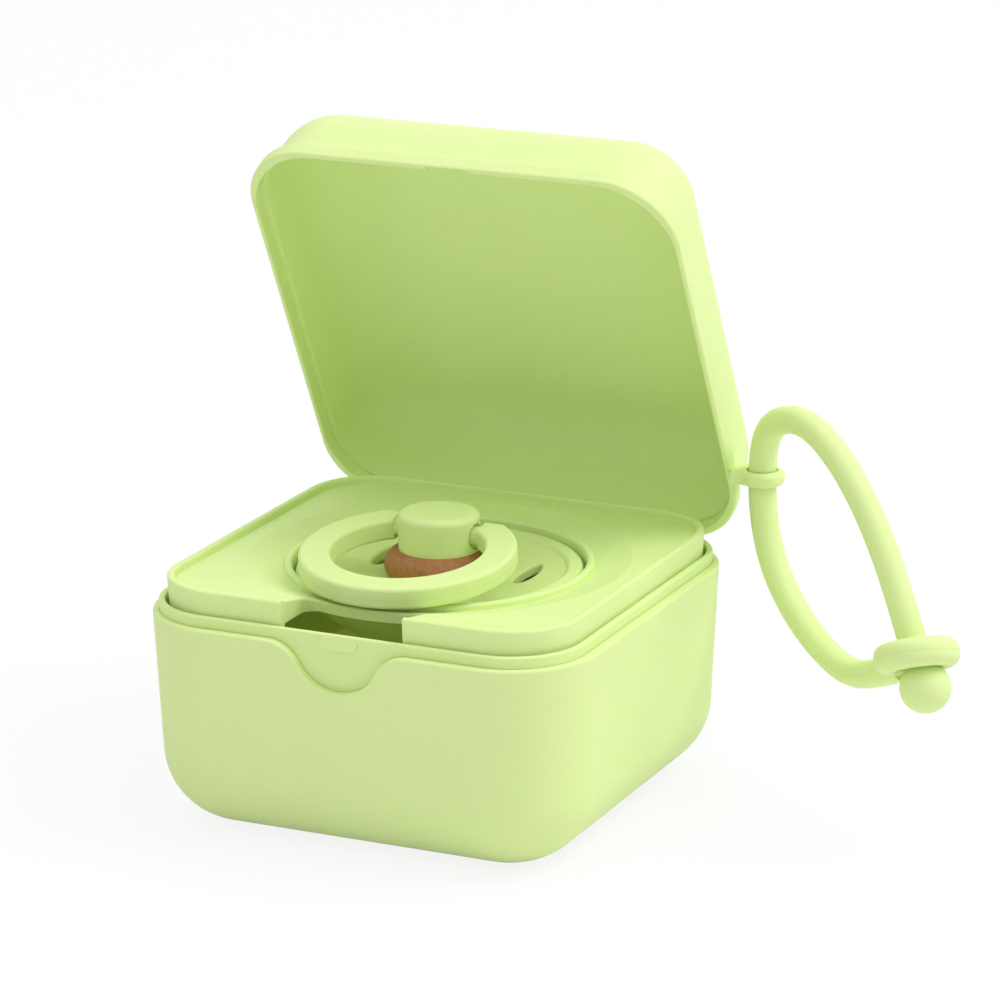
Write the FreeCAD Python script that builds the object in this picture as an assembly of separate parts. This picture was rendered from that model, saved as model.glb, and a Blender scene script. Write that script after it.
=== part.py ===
import FreeCAD, Part
import math
import os
from FreeCAD import Vector

# Pacifier case with a hinged lid, an insert tray, a pacifier in the tray's well and a strap on the lid.
# Millimetres. The origin is the middle of the underside, +Z is up, the thumb scoop faces -Y,
# the hinge is at +Y and the strap eyelet is on the +X side. The lid stands part open, as in use.

# Base shell
case_width = 72.0
shell_corner_radius = 14.3
shell_height = 33.4
shell_draft_share = 0.051
shell_wall = 1.4
shell_floor = 2.0
foot_edge_radius = 11.7
foot_step = 0.35
foot_corner_radius = 6.0
shell_rim_radius = 0.4

# Thumb scoop in the front of the shell
scoop_half_width = 11.3
scoop_depth = 7.0
scoop_bottom_radius = 7.2

# Base liner
liner_gap = 0.08
liner_corner_radius = 11.6
liner_wall = 1.0
liner_floor = 1.3
liner_rise = 1.75
liner_rim_radius = 0.3
ledge_height = 14.0
ledge_width = 1.3
liner_foot_radius = 7.5
liner_foot_relief = 0.45
pit_foot_radius = 6.0

# Catch bump on the liner's front face
catch_length = 6.3
catch_height = 1.8
catch_stand = 0.6
catch_top_stand = 0.15
catch_below_rim = 1.25
catch_edge_radius = 0.12

# Insert tray
tray_gap = 0.4
tray_corner_radius = 11.2
tray_rise = 3.6
tray_wall = 1.3
tray_lip_width = 1.2
tray_lip_height = 1.1
tray_lip_radius = 0.4
tray_plate = 2.6
tray_ramp_length = 6.0

# Round well of the tray
well_lip_share = 0.7075
well_lip_wall = 1.2
well_lip_drop = 1.5
well_lip_round = 0.45
dish_width = 5.7
dish_drop = 1.4
seat_drop = 4.65
seat_width = 2.7
funnel_flare = 0.9
funnel_wall = 1.5
funnel_mouth_radius = 12.4
funnel_depth = 12.9

# Finger notch of the tray
notch_half_width = 10.0
notch_back = 2.3
notch_depth = 9.0
notch_corner_radius = 2.2
notch_edge_radius = 0.34

# Lid
lid_seam = 0.3
lid_depth = 17.4
lid_skirt_inset = 0.8
lid_skirt_corner = 11.2
lid_draft_share = 0.08
lid_top_radius = 10.0
lid_bead_height = 2.8
lid_bead_inset = 0.25
lid_bead_corner = 11.2
lid_bead_radius = 0.45
lid_wall = 0.95
lid_rabbet_depth = 2.2
lid_rabbet_gap = 0.35
lid_mouth_radius = 0.2
lid_open_angle = 63.1

# Hinge
hinge_inset = 0.2
knuckle_radius = 1.3
knuckle_gap = 0.3
lid_knuckle_half = 12.0
base_knuckle_length = 8.0
gusset_drop = 6.0
web_rise = 1.8
pin_radius = 0.6
pin_clearance = 0.05

# Strap eyelet on the lid
eyelet_out = 4.6
eyelet_from_rear = 14.5
eyelet_above_rim = 1.1
eyelet_hole_clearance = 0.3
eyelet_wall = 1.0
eyelet_thickness = 2.3
eyelet_edge_radius = 0.9
eyelet_flare_radius = 2.6
eyelet_flare_sink = 1.15
eyelet_shell_gap = 0.4

# Pacifier shield
shield_side_gap = 0.5
seat_gap = 0.1
shield_bead_width = 2.2
shield_bead_height = 2.1
shield_plate = 1.5
shield_plate_drop = 0.6
shield_dish = 1.4
shield_flat_share = 0.455
shield_bore_radius = 5.6
vent_out_share = 0.546
vent_back_share = 0.277
vent_length_share = 0.395
vent_width_share = 0.13
vent_edge_radius = 0.4

# Pacifier nipple
collar_height = 4.7
collar_top_radius = 6.5
collar_belly_radius = 8.5
collar_foot_radius = 7.0
neck_radius = 5.5
flange_radius = 8.0
flange_thickness = 1.2
nipple_floor_gap = 4.0
bulb_radius = 7.8
waist_radius = 5.0
rubber_wall = 1.3

# Pacifier button
button_radius = 6.25
button_height = 5.8
button_edge_radius = 1.0
button_dish_depth = 0.35
button_dish_share = 0.72
stem_end_gap = 0.3
stem_fit = 0.05
slot_depth = 2.1
slot_clearance = 0.05
slot_lift = 0.2
slot_mouth_radius = 2.1
slot_mouth_depth = 0.5

# Ring handle
handle_share = 0.696
handle_band = 4.8
handle_thickness = 3.4
handle_edge_radius = 0.6
handle_back = 5.6
handle_end = 1.7
handle_button_gap = 0.9
pivot_below_top = 3.3
tongue_radius = 1.5
tongue_end_gap = 0.3
handle_rest_gap = 0.35

# Strap
cord_radius = 2.17
strap_plan_angle = -35.0
strap_ring_radius = 6.4
strap_ring_thickness = 4.4
strap_ring_edge_radius = 1.85
strap_ring_fit = 0.3
strap_ball_radius = 3.85
strap_ball_place = 4.9
strap_ball_flat = 3.2
strap_joint_drop = 1.0
strap_ring_place = (42.0, -17.15)

# Directions in the strap's own plane as shares outward, upward and square to the plane
strap_ball_heading_shares = (0.49, -0.872, 0.0)
strap_ring_axis_shares = (0.44, -0.89, -0.13)

# Route of the cord in the strap's own upright plane: outward from the eyelet and up from it
cord_route = [
    (37.7, -9.6), (31.2, -0.5), (22.7, 7.3), (12.6, 11.9), (3.6, 10.1), (0.0, 5.0),
    (0.0, -5.2), (2.9, -13.0), (8.8, -18.9), (16.8, -23.2), (24.8, -25.0), (31.7, -23.0),
]

overrun = 5.0
level_tolerance = 1e-4
cord_setback_share = 0.45
diagonal_share = math.sqrt(0.5)
quarter_turn = 90.0
full_turn = 360.0

X_AXIS = Vector(1, 0, 0)
Y_AXIS = Vector(0, 1, 0)
Z_AXIS = Vector(0, 0, 1)
ORIGIN = Vector(0, 0, 0)


# Heights and half-widths that several pieces share
half_width = case_width / 2
liner_top = shell_height + liner_rise
liner_half = half_width - shell_wall - liner_gap
tray_half = liner_half - liner_wall + shell_draft_share * tray_rise - tray_gap / 2
tray_top = liner_top + tray_rise
tray_floor = tray_top - tray_lip_height
tray_underside = tray_floor - tray_plate
well_lip_top = tray_top - well_lip_drop
well_seat = tray_top - seat_drop
well_lip_radius = well_lip_share * tray_half
well_inner_radius = well_lip_radius - well_lip_wall
dish_radius = well_lip_radius + dish_width
notch_arc_radius = well_lip_radius + notch_back
lid_rim = shell_height + lid_seam
hinge_y = half_width - hinge_inset
hinge_z = shell_height
hinge_point = Vector(0, hinge_y, hinge_z)
shield_base = well_seat + seat_gap
shield_bead_top = shield_base + shield_bead_height
shield_top = shield_bead_top - shield_plate_drop
shield_radius = well_inner_radius - shield_side_gap
shield_flat_radius = shield_flat_share * shield_radius
vent_length = vent_length_share * shield_radius
vent_width = vent_width_share * shield_radius
collar_foot = shield_top - shield_dish
collar_top = collar_foot + collar_height
flange_top = collar_foot - shield_plate
flange_low = flange_top - flange_thickness
button_top = collar_top + button_height
pivot_z = button_top - pivot_below_top
slot_radius = tongue_radius + slot_clearance
handle_outer_radius = handle_share * well_lip_radius
handle_inner_radius = handle_outer_radius - handle_band
handle_offset = handle_outer_radius - handle_back


def rounded_square(half, corner, z):
    """Closed wire of a square with round corners, centred on the Z axis."""
    flat = half - corner
    diagonal = corner * diagonal_share
    edges = []
    for turn in range(4):
        angle = turn * quarter_turn
        side = Part.makeLine(Vector(half, -flat, z), Vector(half, flat, z))
        start = Vector(half, flat, z)
        middle = Vector(flat + diagonal, flat + diagonal, z)
        end = Vector(flat, half, z)
        arc = Part.Arc(start, middle, end).toShape()
        for edge in (side, arc):
            edge.rotate(ORIGIN, Z_AXIS, angle)
            edges.append(edge)
    return Part.Wire(edges)


def drafted_block(half_top, corner_top, z_low, z_high, draft_share):
    """Solid rounded square that draws in evenly towards one end."""
    draw = draft_share * (z_high - z_low)
    low = rounded_square(half_top - draw, corner_top - draw, z_low)
    high = rounded_square(half_top, corner_top, z_high)
    return Part.makeLoft([low, high], True, True)


def edges_at(shape, z):
    """Edges that lie wholly in the level plane at z."""
    found = []
    for edge in shape.Edges:
        limits = edge.BoundBox
        if abs(limits.ZMin - z) < level_tolerance and abs(limits.ZMax - z) < level_tolerance:
            found.append(edge)
    return found


def middle_of(edge):
    """The point half way along an edge's parameter."""
    return edge.valueAt((edge.FirstParameter + edge.LastParameter) / 2)


def bar_x(radius, end_one, end_two, y, z):
    """Round bar along X between two ends in either order."""
    low = min(end_one, end_two)
    return Part.makeCylinder(radius, abs(end_two - end_one), Vector(low, y, z), X_AXIS)


def upright(outline, z_low, z_high):
    """Prism over a level closed wire drawn at z_low."""
    return Part.Face(outline).extrude(Vector(0, 0, z_high - z_low))


def half_at(half_top, z_top, z, draft_share):
    """Half-width of a drafted wall at height z."""
    return half_top - draft_share * (z_top - z)


def revolve(points, arcs=None):
    """Solid of revolution about Z from (radius, height) points; arcs maps a segment to its mid point."""
    arcs = arcs or {}
    edges = []
    count = len(points)
    for index in range(count):
        start = Vector(points[index][0], 0, points[index][1])
        last = points[(index + 1) % count]
        end = Vector(last[0], 0, last[1])
        if index in arcs:
            middle = Vector(arcs[index][0], 0, arcs[index][1])
            edges.append(Part.Arc(start, middle, end).toShape())
        else:
            edges.append(Part.makeLine(start, end))
    face = Part.Face(Part.Wire(edges))
    return face.revolve(ORIGIN, Z_AXIS, full_turn)


def box(x_low, x_high, y_low, y_high, z_low, z_high):
    """Box between limits."""
    size = (x_high - x_low, y_high - y_low, z_high - z_low)
    return Part.makeBox(*size, Vector(x_low, y_low, z_low))


def prism_x(points, x_low, x_high):
    """Prism along X over a (y, z) outline."""
    corners = [Vector(x_low, y, z) for y, z in points]
    face = Part.Face(Part.makePolygon(corners + corners[:1]))
    return face.extrude(Vector(x_high - x_low, 0, 0))


def one_solid(shape):
    """The cleaned shape as a single solid."""
    clean = shape.removeSplitter()
    if len(clean.Solids) != 1:
        raise ValueError("expected one solid, found %d" % len(clean.Solids))
    return clean.Solids[0]


def opened(shape):
    """The shape turned with the lid from closed to its part-open stand."""
    turned = shape.copy()
    turned.rotate(hinge_point, X_AXIS, -lid_open_angle)
    return turned


def scoop_prism():
    """Thumb scoop: two shoulder arcs and a bottom arc, all tangent, through the front wall."""
    reach = scoop_half_width ** 2 + scoop_depth ** 2
    shoulder_radius = reach / (2 * scoop_depth) - scoop_bottom_radius
    spread = shoulder_radius + scoop_bottom_radius
    rise = spread - scoop_depth
    touch_share = shoulder_radius / spread
    touch_x = scoop_half_width * (1 - touch_share)
    touch_z = -shoulder_radius + rise * touch_share
    lean = math.atan2(scoop_half_width, rise) / 2
    shoulder_x = scoop_half_width - shoulder_radius * math.sin(lean)
    shoulder_z = -shoulder_radius + shoulder_radius * math.cos(lean)
    y_out = -half_width - overrun
    z_out = overrun

    def at(x, z):
        return Vector(x, y_out, shell_height + z)

    left_end, right_end = at(-scoop_half_width, 0), at(scoop_half_width, 0)
    edges = [
        Part.Arc(left_end, at(-shoulder_x, shoulder_z), at(-touch_x, touch_z)).toShape(),
        Part.Arc(at(-touch_x, touch_z), at(0, -scoop_depth), at(touch_x, touch_z)).toShape(),
        Part.Arc(at(touch_x, touch_z), at(shoulder_x, shoulder_z), right_end).toShape(),
        Part.makeLine(right_end, at(scoop_half_width, z_out)),
        Part.makeLine(at(scoop_half_width, z_out), at(-scoop_half_width, z_out)),
        Part.makeLine(at(-scoop_half_width, z_out), left_end),
    ]
    face = Part.Face(Part.Wire(edges))
    return face.extrude(Vector(0, overrun + shell_wall + overrun, 0))


def foot_cutter():
    """Space under the rounded edge, which leaves a low flat foot for the case to stand on."""
    foot_half = half_at(half_width, shell_height, 0, shell_draft_share) - foot_edge_radius
    around = box(-half_width, half_width, -half_width, half_width, -overrun, foot_step)
    foot = upright(rounded_square(foot_half, foot_corner_radius, -overrun), -overrun, foot_step)
    return around.cut(foot)


def make_base_shell():
    """Outer cup with the scoop, the rear notch for the lid's knuckle and the two base knuckles."""
    cup = drafted_block(half_width, shell_corner_radius, 0, shell_height, shell_draft_share)
    cup = cup.makeFillet(foot_edge_radius, edges_at(cup, 0)).cut(foot_cutter())
    inner_half = half_width - shell_wall
    inner_corner = liner_corner_radius + liner_gap
    hollow = drafted_block(inner_half, inner_corner, shell_floor, shell_height, shell_draft_share)
    hollow = hollow.makeFillet(liner_foot_radius + liner_wall + liner_gap, edges_at(hollow, shell_floor))
    shell = cup.cut(hollow).cut(scoop_prism())
    rim_edges = []
    corner_reach = (inner_half - inner_corner) / diagonal_share + inner_corner + liner_gap
    for edge in shell.Edges:
        middle = middle_of(edge)
        high = edge.BoundBox.ZMin > shell_height - scoop_depth - shell_rim_radius
        outer = max(abs(middle.x), abs(middle.y)) > inner_half + shell_wall / 2
        corner = math.hypot(middle.x, middle.y) > corner_reach
        if high and (outer or corner):
            rim_edges.append(edge)
    shell = shell.makeFillet(shell_rim_radius, rim_edges)
    notch_half = lid_knuckle_half + knuckle_gap
    notch_low = hinge_z - knuckle_radius - knuckle_gap
    notch_y = (inner_half - shell_wall, half_width + overrun)
    shell = shell.cut(box(-notch_half, notch_half, *notch_y, notch_low, shell_height + overrun))
    wall_face = half_at(half_width, shell_height, hinge_z - gusset_drop, shell_draft_share)
    for side in (-1, 1):
        low, high = sorted((side * notch_half, side * (notch_half + base_knuckle_length)))
        barrel = bar_x(knuckle_radius, low, high, hinge_y, hinge_z)
        gusset = prism_x([
            (hinge_y + knuckle_radius, hinge_z),
            (inner_half + shell_wall / 2, hinge_z),
            (wall_face - shell_wall / 2, hinge_z - gusset_drop),
            (wall_face, hinge_z - gusset_drop),
        ], low, high)
        shell = shell.fuse(barrel).fuse(gusset)
    span = notch_half + base_knuckle_length + overrun
    shell = shell.cut(bar_x(pin_radius + pin_clearance, -span, span, hinge_y, hinge_z))
    return one_solid(shell)


def make_base_liner():
    """Inner cup whose rim stands above the shell, with a ledge for the tray and the catch bump."""
    outer_top = half_at(liner_half, shell_height, liner_top, shell_draft_share)
    body = drafted_block(outer_top, liner_corner_radius, shell_floor, liner_top, shell_draft_share)
    foot_radius = liner_foot_radius + liner_wall + liner_foot_relief
    body = body.makeFillet(foot_radius, edges_at(body, shell_floor))
    room_half = outer_top - liner_wall
    room_corner = liner_corner_radius - liner_wall
    room = drafted_block(room_half, room_corner, ledge_height, liner_top, shell_draft_share)
    pit_half = half_at(room_half, liner_top, ledge_height, shell_draft_share) - ledge_width
    pit_corner = room_corner - shell_draft_share * (liner_top - ledge_height) - ledge_width
    pit_low = shell_floor + liner_floor
    pit = drafted_block(pit_half, pit_corner, pit_low, ledge_height, shell_draft_share)
    pit = pit.makeFillet(pit_foot_radius, edges_at(pit, pit_low))
    liner = body.cut(room).cut(pit)
    liner = liner.makeFillet(liner_rim_radius, edges_at(liner, liner_top))
    groove_radius = knuckle_radius + knuckle_gap
    groove_half = lid_knuckle_half + knuckle_gap + base_knuckle_length + knuckle_gap
    liner = liner.cut(bar_x(groove_radius, -groove_half, groove_half, hinge_y, hinge_z))
    groove_y = (hinge_y - groove_radius, hinge_y + groove_radius)
    liner = liner.cut(box(-groove_half, groove_half, *groove_y, hinge_z, liner_top + overrun))
    catch_z = liner_top - catch_below_rim
    face_y = -half_at(outer_top, liner_top, catch_z, shell_draft_share)
    end_radius = catch_height / 2
    straight = catch_length / 2 - end_radius
    front_y = face_y - catch_stand
    root_y = face_y + liner_wall / 2
    bump = box(-straight, straight, front_y, root_y, catch_z - end_radius, catch_z + end_radius)
    for side in (-1, 1):
        start = Vector(side * straight, front_y, catch_z)
        bump = bump.fuse(Part.makeCylinder(end_radius, root_y - front_y, start, Y_AXIS))
    slope = prism_x([
        (front_y - overrun, catch_z - end_radius),
        (front_y, catch_z - end_radius),
        (face_y - catch_top_stand, catch_z + end_radius),
        (front_y - overrun, catch_z + end_radius),
    ], -catch_length, catch_length)
    bump = bump.removeSplitter().cut(slope)
    front = [edge for edge in bump.Edges if edge.BoundBox.YMax < face_y - catch_top_stand / 2]
    bump = bump.makeFillet(catch_edge_radius, front)
    return one_solid(liner.fuse(bump))


def make_hinge_pin():
    """Plain pin through the three knuckles."""
    reach = lid_knuckle_half + knuckle_gap + base_knuckle_length
    return bar_x(pin_radius, -reach, reach, hinge_y, hinge_z)


def well_body():
    """Lip, seat and funnel of the round well."""
    funnel_foot = tray_top - funnel_depth
    points = [
        (well_inner_radius, well_lip_top),
        (well_lip_radius, well_lip_top),
        (well_lip_radius, tray_underside + funnel_flare),
        (well_lip_radius + funnel_flare, tray_underside),
        (funnel_mouth_radius, funnel_foot),
        (funnel_mouth_radius - funnel_wall, funnel_foot),
        (well_inner_radius - seat_width, well_seat),
        (well_inner_radius, well_seat),
    ]
    ring = revolve(points)
    crown = edges_at(ring, well_lip_top)
    return ring.makeFillet(well_lip_round, crown)


def notch_cutter():
    """Finger notch: straight sides, closed by an arc round the well, with round inner corners."""
    z_low = tray_top - notch_depth
    front = -tray_half - overrun
    bar = box(-notch_half_width, notch_half_width, front, 0, z_low, tray_top + overrun)
    core_height = notch_depth + overrun + overrun
    core = Part.makeCylinder(notch_arc_radius, core_height, Vector(0, 0, z_low - overrun))
    cutter = bar.cut(core)
    meet_y = -math.sqrt(notch_arc_radius ** 2 - notch_half_width ** 2)
    corners = []
    for edge in cutter.Edges:
        limits = edge.BoundBox
        tall = limits.ZLength > notch_depth
        inner = abs(limits.YMin - meet_y) < notch_corner_radius
        if tall and inner:
            corners.append(edge)
    return cutter.makeFillet(notch_corner_radius, corners)


def dish_cutter(rise):
    """Shallow cone round the well, carried on above the tray's floor by the given rise."""
    slope = dish_drop / (dish_radius - well_lip_radius)
    return revolve([
        (0, tray_floor - dish_drop),
        (well_lip_radius, tray_floor - dish_drop),
        (dish_radius + rise / slope, tray_floor + rise),
        (0, tray_floor + rise),
    ])


def make_insert_tray():
    """Lift-out tray: drafted skirt, lip on three sides, dished floor, round well and finger notch."""
    block = drafted_block(tray_half, tray_corner_radius, ledge_height, tray_top, shell_draft_share)
    hollow_top = half_at(tray_half, tray_top, tray_underside, shell_draft_share) - tray_wall
    hollow_corner = tray_corner_radius - tray_wall
    hollow = drafted_block(hollow_top, hollow_corner, ledge_height, tray_underside, shell_draft_share)
    recess_half = tray_half - tray_lip_width
    recess_corner = tray_corner_radius - tray_lip_width
    recess = upright(rounded_square(recess_half, recess_corner, tray_floor), tray_floor, tray_top + overrun)
    tray = block.cut(recess)
    tray = tray.makeFillet(tray_lip_radius, edges_at(tray, tray_top))
    ramp_front = -tray_half + tray_lip_width / 2
    ramp_back = -tray_half + tray_ramp_length
    ramp = prism_x([
        (ramp_front, tray_floor),
        (ramp_front, tray_top),
        (ramp_back, tray_floor),
    ], -tray_half, tray_half)
    inset = tray_lip_width / 2
    inside = rounded_square(tray_half - inset, tray_corner_radius - inset, tray_underside)
    ramp = ramp.common(upright(inside, tray_underside, tray_top))
    ramp = ramp.cut(dish_cutter(tray_lip_height))
    bore_radius = well_lip_radius - well_lip_wall / 2
    bore = Part.makeCylinder(bore_radius, seat_drop + overrun + overrun, Vector(0, 0, well_seat - overrun))
    tray = tray.cut(hollow).cut(dish_cutter(0)).fuse(ramp).cut(bore)
    tray = tray.fuse(well_body())
    tray = one_solid(tray.cut(notch_cutter()))
    crown = []
    for edge in tray.Edges:
        middle = middle_of(edge)
        on_arc = abs(middle.y + notch_arc_radius) < level_tolerance
        if on_arc and middle.z > tray_underside + level_tolerance:
            crown.append(edge)
    return tray.makeFillet(notch_edge_radius, crown)


def eyelet_centre():
    """Middle of the eyelet's hole on the closed lid."""
    return Vector(half_width + eyelet_out, half_width - eyelet_from_rear, lid_rim + eyelet_above_rim)


def make_eyelet():
    """Strap eyelet on the closed lid: a thick ring on a flared neck, its hole upright when part open."""
    ring_radius = cord_radius + eyelet_hole_clearance + eyelet_wall
    low = -eyelet_thickness / 2
    wall = -eyelet_out - eyelet_flare_sink
    root = wall - eyelet_thickness / 2
    flare = eyelet_flare_radius
    flare_x = wall + flare
    flare_y = math.sqrt((ring_radius + flare) ** 2 - flare_x ** 2)
    touch_share = ring_radius / (ring_radius + flare)
    lean = math.atan2(flare_y, flare_x) / 2

    def at(x, y):
        return Vector(x, y, low)

    ring_ends = [at(flare_x * touch_share, side * flare_y * touch_share) for side in (-1, 1)]
    edges = [
        Part.Arc(ring_ends[0], at(ring_radius, 0), ring_ends[1]).toShape(),
        Part.makeLine(at(root, -flare_y), at(root, flare_y)),
    ]
    for side, ring_end in zip((-1, 1), ring_ends):
        wall_end = at(wall, side * flare_y)
        between = at(flare_x - flare * math.cos(lean), side * (flare_y - flare * math.sin(lean)))
        edges.append(Part.Arc(ring_end, between, wall_end).toShape())
        edges.append(Part.makeLine(wall_end, at(root, side * flare_y)))
    lug = upright(Part.Wire(Part.__sortEdges__(edges)), low, -low)
    rounded = []
    for edge in edges_at(lug, low) + edges_at(lug, -low):
        if edge.BoundBox.XMax > wall + level_tolerance:
            rounded.append(edge)
    lug = lug.makeFillet(eyelet_edge_radius, rounded)
    hole_start = Vector(0, 0, low - overrun / 2)
    hole = Part.makeCylinder(cord_radius + eyelet_hole_clearance, eyelet_thickness + overrun, hole_start)
    lug.rotate(ORIGIN, X_AXIS, lid_open_angle)
    hole.rotate(ORIGIN, X_AXIS, lid_open_angle)
    lug.translate(eyelet_centre())
    hole.translate(eyelet_centre())
    return lug, hole


def make_lid():
    """Cover shell with its rim bead, mouth rabbet, hinge knuckle and strap eyelet, turned part open."""
    skirt_half = half_width - lid_skirt_inset
    lid_top = lid_rim + lid_depth
    draw = lid_draft_share * lid_depth
    low = rounded_square(skirt_half, lid_skirt_corner, lid_rim)
    high = rounded_square(skirt_half - draw, lid_skirt_corner - draw, lid_top)
    skirt = Part.makeLoft([low, high], True, True)
    skirt = skirt.makeFillet(lid_top_radius - draw / 2, edges_at(skirt, lid_top))
    bead_top = lid_rim + lid_bead_height
    bead_half = half_width - lid_bead_inset
    bead = upright(rounded_square(bead_half, lid_bead_corner, lid_rim), lid_rim, bead_top)
    bead = bead.makeFillet(lid_bead_radius, edges_at(bead, lid_rim) + edges_at(bead, bead_top))
    rabbet_half = half_at(liner_half, shell_height, liner_top, shell_draft_share) + lid_rabbet_gap
    rabbet_corner = liner_corner_radius + lid_rabbet_gap
    rabbet_low = lid_rim - overrun
    rabbet_top = lid_rim + lid_rabbet_depth
    rabbet = upright(rounded_square(rabbet_half, rabbet_corner, rabbet_low), rabbet_low, rabbet_top)
    room_half = skirt_half - lid_wall
    room_corner = lid_skirt_corner - lid_wall
    room_low = rounded_square(room_half, room_corner, lid_rim)
    room_high = rounded_square(room_half - draw, room_corner - draw, lid_top - lid_wall)
    room = Part.makeLoft([room_low, room_high], True, True)
    room = room.makeFillet(lid_top_radius - draw / 2 - lid_wall, edges_at(room, lid_top - lid_wall))
    lid = skirt.fuse(bead).cut(rabbet).cut(room)
    mouth = []
    for edge in edges_at(lid, lid_rim):
        middle = middle_of(edge)
        if max(abs(middle.x), abs(middle.y)) < rabbet_half + lid_mouth_radius:
            mouth.append(edge)
    lid = lid.makeFillet(lid_mouth_radius, mouth)
    lug, hole = make_eyelet()
    reach = half_width + eyelet_shell_gap
    inner = rabbet_half + lid_mouth_radius
    lug = lug.cut(box(0, reach, -half_width, half_width, 0, lid_rim))
    lug = lug.cut(box(0, inner, -half_width, half_width, rabbet_low, rabbet_top)).cut(room)
    lid = lid.fuse(lug).cut(hole)
    catch_half = catch_length / 2 + lid_rabbet_gap
    catch_room = box(-catch_half, catch_half, -rabbet_half - catch_stand, 0, rabbet_low, rabbet_top)
    lid = lid.cut(catch_room)
    for side in (-1, 1):
        near = side * lid_knuckle_half
        far = side * (lid_knuckle_half + knuckle_gap + base_knuckle_length + knuckle_gap)
        lid = lid.cut(bar_x(knuckle_radius + knuckle_gap, near, far, hinge_y, hinge_z))
    barrel = bar_x(knuckle_radius, -lid_knuckle_half, lid_knuckle_half, hinge_y, hinge_z)
    web = prism_x([
        (rabbet_half + lid_rabbet_gap, hinge_z),
        (hinge_y + knuckle_radius, hinge_z),
        (skirt_half + knuckle_radius / 2, lid_rim + web_rise),
        (rabbet_half + lid_rabbet_gap, lid_rim + web_rise),
    ], -lid_knuckle_half, lid_knuckle_half)
    lid = lid.fuse(barrel).fuse(web)
    span = lid_knuckle_half + overrun
    lid = lid.cut(bar_x(pin_radius + pin_clearance, -span, span, hinge_y, hinge_z))
    return opened(one_solid(lid))


def make_pacifier_shield():
    """Round shield: rolled rim, shallow dish, bore for the nipple's neck and two oval vents."""
    plate_radius = shield_radius - shield_bead_width
    under = shield_top - shield_plate
    edge_radius = plate_radius - shield_plate_drop
    middle_radius = (edge_radius + shield_flat_radius) / 2
    middle_rise = shield_dish / 4
    points = [
        (shield_bore_radius, flange_top),
        (shield_flat_radius, flange_top),
        (edge_radius, under),
        (plate_radius, shield_base),
        (shield_radius, shield_base),
        (shield_radius, shield_bead_top),
        (plate_radius, shield_bead_top),
        (edge_radius, shield_top),
        (shield_flat_radius, collar_foot),
        (shield_bore_radius, collar_foot),
    ]
    lower_bow, upper_bow = 1, 7
    shield = revolve(points, {
        lower_bow: (middle_radius, flange_top + middle_rise),
        upper_bow: (middle_radius, collar_foot + middle_rise),
    })
    bead_round = shield_bead_width / 2 - shield_plate_drop / 2
    shield = shield.makeFillet(bead_round, edges_at(shield, shield_bead_top))
    vent_low = shield_base - overrun
    vent_high = shield_bead_top + overrun
    y = vent_back_share * shield_radius
    for side in (-1, 1):
        x = side * vent_out_share * shield_radius
        long_end = Vector(x, y + vent_length / 2, vent_low)
        short_end = Vector(x + vent_width / 2, y, vent_low)
        oval = Part.Ellipse(long_end, short_end, Vector(x, y, vent_low)).toShape()
        shield = shield.cut(upright(Part.Wire(oval), vent_low, vent_high))
    vent_edges = []
    for edge in shield.Edges:
        middle = middle_of(edge)
        near = abs(middle.y - y) < vent_length and abs(abs(middle.x) - x) < vent_width
        tall = edge.BoundBox.ZLength > shield_plate / 2
        if near and not tall and middle.z > collar_foot - shield_plate / 2:
            vent_edges.append(edge)
    return one_solid(shield.makeFillet(vent_edge_radius, vent_edges))


def make_pacifier_nipple():
    """Hollow rubber nipple: collar above the shield, neck through it, flange and bulb below."""
    tip = shell_floor + liner_floor + nipple_floor_gap
    bulb_z = tip + bulb_radius
    waist_z = (flange_low + bulb_z + bulb_radius) / 2
    bore = neck_radius - rubber_wall
    inner_bulb = bulb_radius - rubber_wall
    outer = [
        (collar_top_radius, collar_top),
        (collar_foot_radius, collar_foot),
        (neck_radius, collar_foot),
        (neck_radius, flange_top),
        (flange_radius, flange_top),
        (flange_radius, flange_low),
        (waist_radius, waist_z),
        (bulb_radius, bulb_z),
        (0, tip),
    ]
    inner = [
        (0, tip + rubber_wall),
        (inner_bulb, bulb_z),
        (waist_radius - rubber_wall, waist_z),
        (bore, flange_low),
        (bore, collar_top),
    ]
    last = len(outer) - 2
    start = len(outer)
    arcs = {
        0: (collar_belly_radius, (collar_top + collar_foot) / 2),
        last: (bulb_radius * diagonal_share, bulb_z - bulb_radius * diagonal_share),
        start: (inner_bulb * diagonal_share, bulb_z - inner_bulb * diagonal_share),
    }
    return one_solid(revolve(outer + inner, arcs))


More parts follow.
